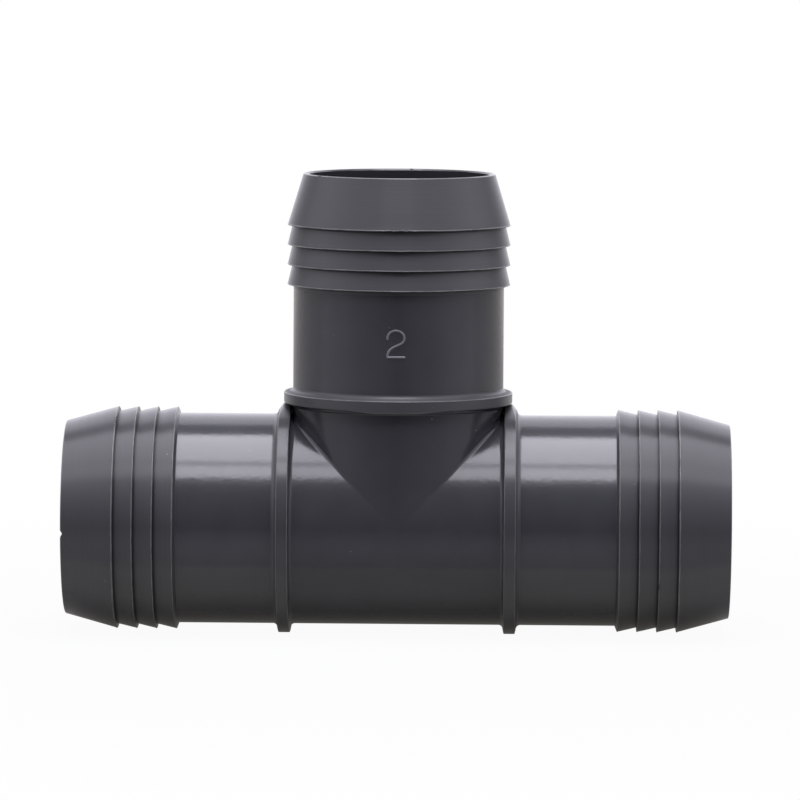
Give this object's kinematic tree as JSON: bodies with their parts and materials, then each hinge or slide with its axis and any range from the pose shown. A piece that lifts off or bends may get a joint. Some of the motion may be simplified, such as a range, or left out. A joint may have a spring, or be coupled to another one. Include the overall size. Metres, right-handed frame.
{
  "type": "pvc tee fitting",
  "caption": "Barbed insert tee for irrigation pipe: a straight run with a branch at right angles, whose ends have nose cones, barbs, clamp seats and stop collars.",
  "frame": {"origin": "where the axis of the run crosses the axis of the branch", "axes": "+X along the run, +Z out of the branch, -Y towards the side that carries the size number"},
  "size_m": [0.1648, 0.0566, 0.1144],
  "materials": {
    "gloss_pvc": "smooth moulded rigid PVC, polished tool face",
    "satin_pvc": "satin moulded rigid PVC, turned tool face"
  },
  "bodies": {
    "root": {"hub": "gloss_pvc", "left_collar": "satin_pvc", "right_collar": "satin_pvc", "branch_collar": "satin_pvc", "left_seat": "gloss_pvc", "right_seat": "gloss_pvc", "branch_seat": "gloss_pvc", "left_barbs": "satin_pvc", "right_barbs": "satin_pvc", "branch_barbs": "satin_pvc"}
  },
  "joints": []
}
